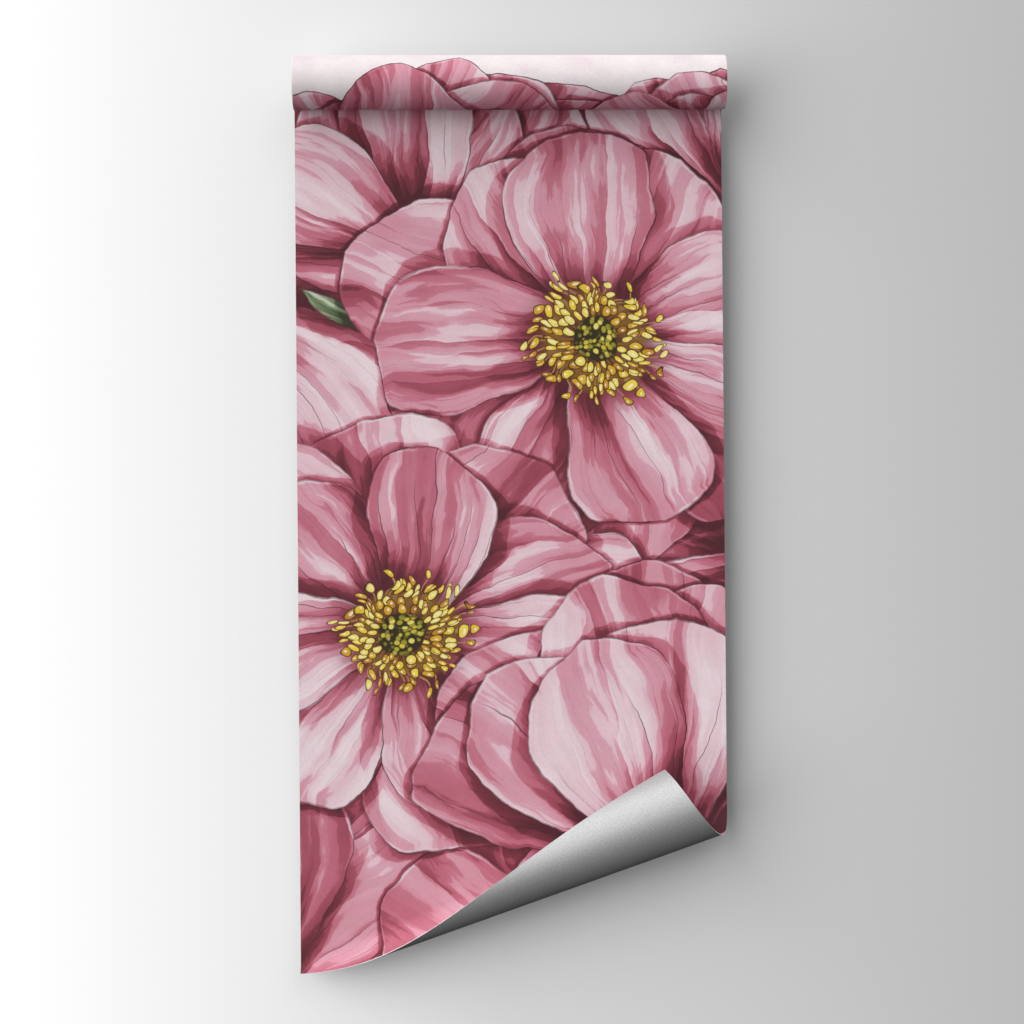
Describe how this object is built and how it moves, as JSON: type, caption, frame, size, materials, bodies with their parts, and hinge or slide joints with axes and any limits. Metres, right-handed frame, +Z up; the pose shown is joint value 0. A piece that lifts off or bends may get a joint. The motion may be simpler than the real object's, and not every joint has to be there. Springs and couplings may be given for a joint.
{
  "type": "wallpaper roll",
  "caption": "Roll of floral wallpaper, part unrolled and hung on a wall: the paper is wound up at the top, drops flat, and curls forward at its lower right corner.",
  "frame": {"origin": "on the back of the hanging paper, where it lies on the wall, midway across its width and 100 mm below the roll's axis", "axes": "+X to the right along the roll, +Y out of the paper's back into the wall, +Z up"},
  "size_m": [0.5305, 0.0891, 1.129],
  "materials": {
    "printed_face": "matt printed paper on the roll: a floral print in rose and wine on a pale ground, white cut edges at the roll's ends",
    "printed_sheet": "matt printed paper: a floral print in rose, wine and yellow on the front, a fine-grained silver-grey back"
  },
  "bodies": {
    "root": {"wound_roll": "printed_face", "hanging_sheet": "printed_sheet"}
  },
  "joints": []
}
